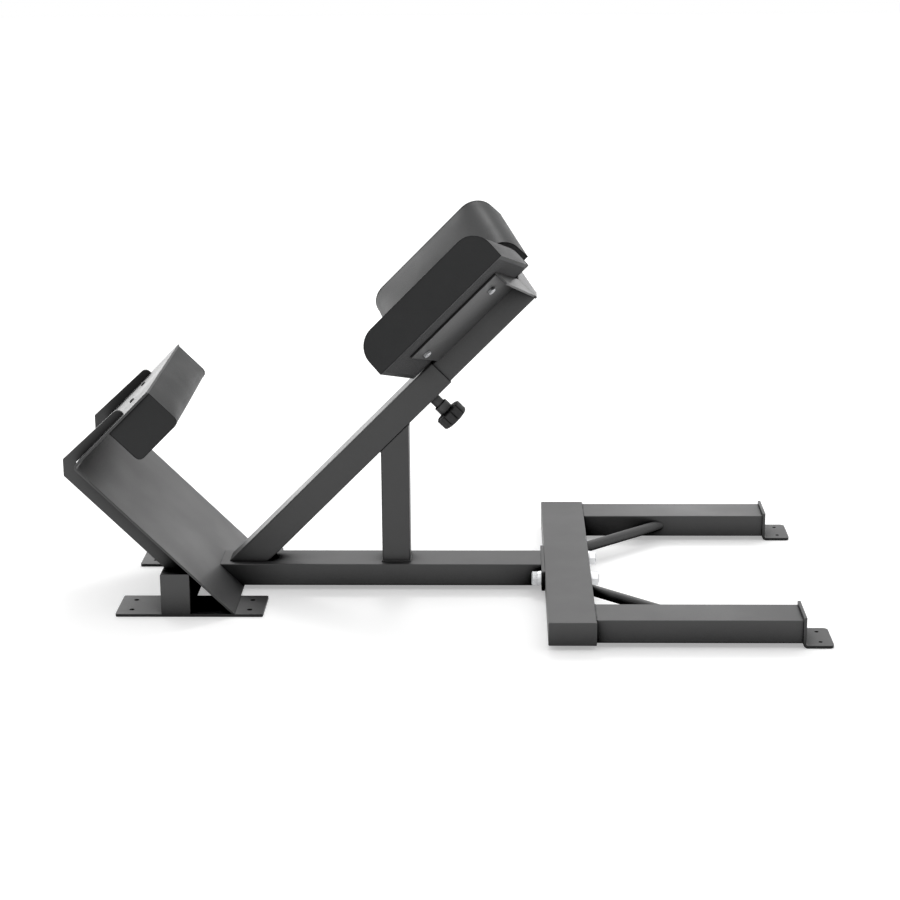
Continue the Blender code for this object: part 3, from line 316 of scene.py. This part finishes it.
# Partly painted shade: the seam cord is real, and its darker vinyl paints the shade in the crease of the
# seam.
SHADED_SEAM = vinyl("seam_vinyl_painted_shade", (0.010, 0.010, 0.011), (0.014, 0.014, 0.015))
ZINC = zinc_plate("zinc_plate", (0.42, 0.43, 0.44), (0.58, 0.59, 0.60))
BRIGHT_ZINC = zinc_plate("bright_zinc_plate", (0.74, 0.75, 0.76), (0.86, 0.87, 0.88))
BOLT_ZINC = threaded_zinc("rolled_thread_zinc", THREAD_PITCH)
OXIDE = powder_coat("black_oxide", (0.018, 0.018, 0.019), (0.026, 0.026, 0.027), 0.36)
PLASTIC = moulded_plastic("knob_plastic", (0.030, 0.030, 0.0305), (0.042, 0.042, 0.0425))
BACKING = backing_cloth("board_backing", (0.012, 0.012, 0.013), (0.030, 0.030, 0.031))
FLOOR = floor_paper("floor_paper")


def material_for(node):
    if node.endswith("_flange_bolt"):
        return BOLT_ZINC
    if node.endswith(("_flange_nut", "_washer")):
        return BRIGHT_ZINC
    if node.endswith(("_pad_bolt", "plunger_pin")):
        return ZINC
    if node.endswith("_screw") or node == "plunger_housing_cap":
        return OXIDE
    if node.endswith("_board"):
        return BACKING
    if node == "plunger_knob":
        return PLASTIC
    # caps and plunger housing take the paint with painted light
    if node.endswith("_cap") or node == "plunger_housing":
        return LIT_CAP_PAINT
    return PAINT


def dress_frame():
    for node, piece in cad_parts.items():
        piece.data.materials.clear()
        piece.data.materials.append(material_for(node))


# Objects and outlines

def add_object(name, data):
    """Object with this data, in the scene."""
    piece = bpy.data.objects.new(name, data)
    bpy.context.scene.collection.objects.link(piece)
    return piece


def shown_mesh(piece):
    """New mesh in the form that the piece's modifiers or curve settings give it."""
    shown = piece.evaluated_get(bpy.context.evaluated_depsgraph_get())
    return bpy.data.meshes.new_from_object(shown)


def rectangle(half_x, half_y):
    """The four corners in order."""
    return [(-half_x, -half_y), (half_x, -half_y), (half_x, half_y), (-half_x, half_y)]


def spread(start, end, pitch):
    """Evenly spaced values from start up to, but without, end."""
    steps = max(1, round(abs(end - start) / pitch))
    return [start + (end - start) * step / steps for step in range(steps)]


def tube_along(name, path, radius, material, closed=True):
    """Thin round cord through the points of path."""
    curve = bpy.data.curves.new(name, "CURVE")
    curve.dimensions = "3D"
    curve.bevel_depth = radius
    curve.bevel_resolution = 1
    curve.use_fill_caps = not closed
    spline = curve.splines.new("POLY")
    spline.points.add(len(path) - 1)
    for point, place in zip(spline.points, path):
        point.co = (*place, 1.0)
    spline.use_cyclic_u = closed
    cord = add_object(name, curve)
    mesh = shown_mesh(cord)
    bpy.data.objects.remove(cord)
    piece = add_object(name, mesh)
    mesh.shade_smooth()
    mesh.materials.clear()
    mesh.materials.append(material)
    return piece


# Upholstery: a cover's size is its length, width, depth and the radius of its upper ends

def incline_matrix():
    """From (u, y, v) on the slope to the shared frame."""
    return Matrix.Translation((INCLINE_FOOT_X, 0.0, 0.0)) @ Matrix.Rotation(-INCLINE_ANGLE, 4, "Y")


def hip_pad_matrix(side):
    """From (along, across, up) of a hip pad to the shared frame; across runs away from the tube."""
    corner = Matrix.Translation((PAD_LOW_U, side * PAD_INNER_Y, PAD_BASE_V))
    roll = Matrix.Rotation(side * PAD_ROLL, 4, "X")
    mirror = Matrix.Diagonal((1, side, 1, 1))
    return incline_matrix() @ corner @ roll @ mirror


def calf_pad_matrix():
    """The calf pad's up direction points from the lip down to the calves."""
    corner = Matrix.Translation((CALF_LOW_U, CALF_WIDTH / 2, LIP_FRONT_V))
    return incline_matrix() @ corner @ Matrix.Rotation(math.pi, 4, "X")


def side_outline(length, depth, radius):
    """Closed side view (along, up) of a block whose two upper ends are rounded."""
    high = length - radius
    wall = depth - radius
    quarter = spread(0.0, math.pi / 2, COVER_PITCH / radius)
    points = [(0.0, up) for up in spread(0.0, wall, COVER_PITCH)]
    points += [(radius - radius * math.cos(turn), wall + radius * math.sin(turn)) for turn in quarter]
    points += [(along, depth) for along in spread(radius, high, COVER_PITCH)]
    points += [(high + radius * math.sin(turn), wall + radius * math.cos(turn)) for turn in quarter]
    points += [(length, up) for up in spread(wall, 0.0, COVER_PITCH)]
    points += [(along, 0.0) for along in spread(length, 0.0, COVER_PITCH)]
    return points


def panel_inside(length, depth, radius):
    """Even grid of points inside a side panel, clear of its sewn edge."""
    points = []
    for along in spread(COVER_PITCH, length - PANEL_CLEARANCE, COVER_PITCH):
        for up in spread(COVER_PITCH, depth - PANEL_CLEARANCE, COVER_PITCH):
            beside = max(radius - along, along - (length - radius), 0.0)
            above = max(up - (depth - radius), 0.0)
            if math.hypot(beside, above) < radius - PANEL_CLEARANCE:
                points.append((along, up))
    return points


def add_panel(shape, loop, outline, inside, across):
    """Even triangles between the sewn edge and the grid of a side panel."""
    count = len(outline)
    flat = [Vector(point) for point in outline + inside]
    sewn = [(i, (i + 1) % count) for i in range(count)]
    places, _, triangles, _, _, _ = delaunay_2d_cdt(flat, sewn, [], 1, TOUCHING)
    verts = list(loop) + [shape.verts.new((place[0], across, place[1])) for place in places[count:]]
    for triangle in triangles:
        shape.faces.new([verts[i] for i in triangle])


def sewn_shape(outline, inside, stations):
    """A band of even quads round the block, from station to station, and two side panels."""
    shape = bmesh.new()
    loops = [[shape.verts.new((along, across, up)) for along, up in outline] for across in stations]
    count = len(outline)
    for one, two in zip(loops, loops[1:]):
        for i in range(count):
            j = (i + 1) % count
            shape.faces.new((one[i], one[j], two[j], two[i]))
    add_panel(shape, loops[0], outline, inside, stations[0])
    add_panel(shape, loops[-1], outline, inside, stations[-1])
    bmesh.ops.recalc_face_normals(shape, faces=shape.faces)
    return shape, loops


def crease_seams(shape, loops, corners):
    """Creases both sewn edges, and the band along the block's two lower corners."""
    crease = shape.edges.layers.float.new("crease_edge")
    for loop in (loops[0], loops[-1]):
        for one, two in zip(loop, loop[1:] + loop[:1]):
            shape.edges.get((one, two))[crease] = 1.0
    for one, two in zip(loops, loops[1:]):
        for i in corners:
            shape.edges.get((one[i], two[i]))[crease] = 1.0


def tuck_base(mesh, length, width):
    """Lifts the base inside the rim to the board's face, and gives all of the base's points."""
    base = [vert for vert in mesh.vertices if vert.co.z < TOUCHING]
    for vert in base:
        along, across, _ = vert.co
        if min(along, length - along, across, width - across) > BOARD_MARGIN:
            vert.co.z = BOARD_TUCK
    return [vert.index for vert in base]


def sewn_cover(name, size):
    """Cover with creased seams; its group "held" is what the filling leaves in place."""
    length, width, depth, radius = size
    outline = side_outline(length, depth, radius)
    inside = panel_inside(length, depth, radius)
    stations = spread(0.0, width, COVER_PITCH) + [width]
    shape, loops = sewn_shape(outline, inside, stations)
    corners = [i for i, point in enumerate(outline) if point in ((0.0, 0.0), (length, 0.0))]
    crease_seams(shape, loops, corners)
    mesh = bpy.data.meshes.new(name)
    shape.to_mesh(mesh)
    shape.free()
    piece = add_object(name, mesh)
    first_loop = list(range(len(outline)))
    last_loop = [len(outline) * (len(stations) - 1) + i for i in first_loop]
    held = piece.vertex_groups.new(name="held")
    held.add(first_loop + last_loop + tuck_base(mesh, length, width), 1.0, "REPLACE")
    return piece


def fill_cushion(piece, swell):
    """Blows the sewn cover up with cloth simulation, then limits how far a point has moved."""
    rest = [vert.co.copy() for vert in piece.data.vertices]
    cloth = piece.modifiers.new("cloth", "CLOTH")
    cloth.settings.quality = 4
    cloth.settings.mass = 0.3
    cloth.settings.tension_stiffness = 15.0
    cloth.settings.compression_stiffness = 15.0
    cloth.settings.bending_stiffness = 2.0
    cloth.settings.use_pressure = True
    cloth.settings.uniform_pressure_force = FILL_PRESSURE
    cloth.settings.vertex_group_mass = "held"
    cloth.settings.effector_weights.gravity = 0.0
    cloth.collision_settings.use_collision = False
    scene = bpy.context.scene
    for number in range(1, FILL_FRAMES + 1):
        scene.frame_set(number)
    bpy.context.view_layer.update()
    shown = piece.evaluated_get(bpy.context.evaluated_depsgraph_get())
    filled = [vert.co.copy() for vert in shown.data.vertices]
    piece.modifiers.clear()
    scene.frame_set(1)
    for vert, start, end in zip(piece.data.vertices, rest, filled):
        moved = end - start
        vert.co = start + moved * (swell / max(moved.length, swell))


def iron(piece):
    """Irons fine wrinkles out of the cover between its seams, and keeps its rounded corners full."""
    shape = bmesh.new()
    shape.from_mesh(piece.data)
    layer = shape.verts.layers.deform.verify()
    free = [vert for vert in shape.verts if not vert[layer]]
    for _ in range(IRONING_ROUNDS):
        for factor in (IRONING_STEP, -IRONING_STEP * IRONING_RETURN):
            bmesh.ops.smooth_vert(shape, verts=free, factor=factor,
                                  use_axis_x=True, use_axis_y=True, use_axis_z=True)
    shape.to_mesh(piece.data)
    shape.free()


def subdivide(piece):
    """Makes the cover's mesh finer and smoother, and leaves it without modifiers."""
    smooth = piece.modifiers.new("smooth", "SUBSURF")
    smooth.levels = 1
    smooth.render_levels = 1
    bpy.context.view_layer.update()
    mesh = shown_mesh(piece)
    piece.modifiers.clear()
    piece.data = mesh


def cushion(name, size, matrix, swell):
    """Filled cover in its place on the bench."""
    piece = sewn_cover(name, size)
    fill_cushion(piece, swell)
    iron(piece)
    subdivide(piece)
    piece.data.shade_smooth()
    piece.data.set_sharp_from_angle(angle=SHARP_ANGLE)
    piece.data.materials.clear()
    piece.data.materials.append(VINYL)
    piece.data.transform(matrix)
    if matrix.determinant() < 0:
        piece.data.flip_normals()
    return piece


def sew_seams(name, size, matrix, body):
    """A seam cord round each side panel; its darker vinyl is painted shade of the seam's crease."""
    length, width, depth, radius = size
    for word, across in (("inner", 0.0), ("outer", width)):
        path = [matrix @ Vector((along, across, up)) for along, up in side_outline(length, depth, radius)]
        seam = tube_along(name + "_" + word + "_seam", path, SEAM_RADIUS, SHADED_SEAM)
        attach(seam, body)


def build_cushions():
    hip_size = (PAD_LENGTH, PAD_WIDTH, PAD_DEPTH, PAD_END_RADIUS)
    calf_size = (CALF_LENGTH, CALF_WIDTH, CALF_DEPTH, CALF_CORNER)
    jobs = [
        ("near_hip_pad", hip_size, hip_pad_matrix(-1), "carriage", PAD_SWELL),
        ("far_hip_pad", hip_size, hip_pad_matrix(1), "carriage", PAD_SWELL),
        ("calf_pad", calf_size, calf_pad_matrix(), "frame", CALF_SWELL),
    ]
    for node, size, matrix, body, swell in jobs:
        piece = cushion(node + "_cover", size, matrix, swell)
        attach(piece, body)
        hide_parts(node)
        sew_seams(node, size, matrix, body)


# Weld beads

def weld(name, corners, closed=True):
    """Rippled bead along straight runs between corners."""
    ends = corners[1:] + corners[:1] if closed else corners[1:]
    path = []
    for one, two in zip(map(Vector, corners), map(Vector, ends)):
        steps = max(2, int((two - one).length / WELD_PITCH))
        path += [one.lerp(two, step / steps) for step in range(steps)]
    if not closed:
        path.append(Vector(corners[-1]))
    bead = tube_along(name, path, WELD_RADIUS, PAINT, closed)
    ring_size = len(bead.data.vertices) // len(path)
    for number, vert in enumerate(bead.data.vertices):
        ring = number // ring_size
        centre = path[min(ring, len(path) - 1)]
        swell = RIPPLE_MIDDLE + RIPPLE_HEIGHT * math.sin(RIPPLE_TURN * ring)
        vert.co = centre + (vert.co - centre) * swell
    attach(bead, "frame")


def build_stay_welds():
    """Beads round the stay's foot on the spine and round its head under the post."""
    half = STAY_SIZE / 2
    foot = [(STAY_CENTRE_X + a, b, TUBE_TOP_Z + STAY_WELD_LIFT) for a, b in rectangle(half, half)]
    weld("stay_foot_weld", foot)
    under = -POST_SIZE / 2 - STAY_WELD_LIFT
    head = []
    for a, b in rectangle(half, half * HEAD_WELD_SHARE):
        x = STAY_CENTRE_X + a
        z = (x - INCLINE_FOOT_X) * math.tan(INCLINE_ANGLE) + under / math.cos(INCLINE_ANGLE)
        head.append((x, b, z))
    weld("stay_head_weld", head)


def build_leg_welds():
    """A straight bead where each leg's top meets the crossbeam."""
    x = BEAM_RIGHT_X + LEG_WELD_OUT
    z = TUBE_TOP_Z - LEG_WELD_DROP
    for side, word in ((-1, "near"), (1, "far")):
        middle = side * LEG_MID_Y
        corners = [(x, middle - LEG_HALF_WIDTH, z), (x, middle + LEG_HALF_WIDTH, z)]
        weld(word + "_leg_weld", corners, closed=False)


# Surroundings

def build_floor():
    mesh = bpy.data.meshes.new("floor")
    corners = [(x, y, -FLOOR_DROP) for x, y in rectangle(FLOOR_REACH, FLOOR_REACH)]
    mesh.from_pydata(corners, [], [(0, 1, 2, 3)])
    floor = add_object("floor", mesh)
    mesh.materials.append(FLOOR)


def fade_across_room(nodes, links):
    """Strength of the room's light, lower on the camera's side."""
    place = nodes.new("ShaderNodeTexCoord")
    split = nodes.new("ShaderNodeSeparateXYZ")
    fade = nodes.new("ShaderNodeMapRange")
    fade.inputs["From Min"].default_value = -ROOM_FADE
    fade.inputs["From Max"].default_value = ROOM_FADE
    fade.inputs["To Min"].default_value = ROOM_NEAR
    fade.inputs["To Max"].default_value = ROOM_FAR
    links.new(place.outputs["Generated"], split.inputs["Vector"])
    links.new(split.outputs["Y"], fade.inputs["Value"])
    return fade.outputs["Result"]


def seen_as_backdrop(nodes, links):
    """One where the room is seen directly, in gloss or through glass, and zero elsewhere."""
    path = nodes.new("ShaderNodeLightPath")
    seen = path.outputs["Is Camera Ray"]
    for ray in ("Is Glossy Ray", "Is Transmission Ray"):
        either = nodes.new("ShaderNodeMath")
        either.operation = "MAXIMUM"
        links.new(seen, either.inputs[0])
        links.new(path.outputs[ray], either.inputs[1])
        seen = either.outputs["Value"]
    return seen


def build_room():
    """White room: its light fades towards the camera, its backdrop is an even white."""
    world = bpy.data.worlds.new("white_room")
    world.use_nodes = True
    nodes = world.node_tree.nodes
    links = world.node_tree.links
    background = nodes["Background"]
    background.inputs["Color"].default_value = (1.0, 1.0, 1.0, 1.0)
    strength = fade_across_room(nodes, links)
    seen = seen_as_backdrop(nodes, links)
    backdrop = nodes.new("ShaderNodeMix")
    backdrop.inputs["B"].default_value = 1.0
    links.new(seen, backdrop.inputs["Factor"])
    links.new(strength, backdrop.inputs["A"])
    links.new(backdrop.outputs["Result"], background.inputs["Strength"])
    bpy.context.scene.world = world


def add_panel_light(name, place, target, size, power):
    """White panel that faces its target; the camera doesn't see it."""
    data = bpy.data.lights.new(name, "AREA")
    data.shape = "RECTANGLE"
    data.size, data.size_y = size
    data.energy = power
    light = add_object(name, data)
    light.location = place
    light.visible_camera = False
    light.rotation_euler = (Vector(target) - Vector(place)).to_track_quat("-Z", "Y").to_euler()


def build_lights():
    add_panel_light("back_left_panel", place=(-2.6, 3.4, 1.2), target=(0.0, 0.0, 0.3),
                    size=(2.6, 2.0), power=BACK_LEFT_POWER)
    add_panel_light("back_right_panel", place=(2.8, 3.2, 0.9), target=(0.1, 0.0, 0.5),
                    size=(2.0, 2.0), power=BACK_RIGHT_POWER)
    add_panel_light("rear_softbox", place=(-0.05, 2.4, 3.0), target=(0.1, 0.0, 0.5),
                    size=(0.7, 0.6), power=SOFTBOX_POWER)
    add_panel_light("rear_glint", place=(0.68, 2.6, 0.46), target=(0.14, 0.0, 0.54),
                    size=(0.35, 0.30), power=GLINT_POWER)
    data = bpy.data.lights.new("overhead", "SUN")
    data.energy = OVERHEAD_ENERGY
    data.angle = OVERHEAD_SPREAD
    add_object("overhead", data)


def build_camera():
    data = bpy.data.cameras.new("photo_camera")
    data.lens = CAMERA_LENS
    data.sensor_width = SENSOR_WIDTH
    camera = add_object("photo_camera", data)
    turn = Matrix.Rotation(CAMERA_YAW, 4, "Z") @ Matrix.Rotation(math.pi / 2 - CAMERA_PITCH, 4, "X")
    camera.matrix_world = Matrix.Translation(CAMERA_PLACE) @ turn @ Matrix.Rotation(CAMERA_ROLL, 4, "Z")
    bpy.context.scene.camera = camera


dress_frame()
build_cushions()
build_stay_welds()
build_leg_welds()
build_floor()
build_room()
build_lights()
build_camera()
bpy.context.scene.view_settings.view_transform = "Standard"
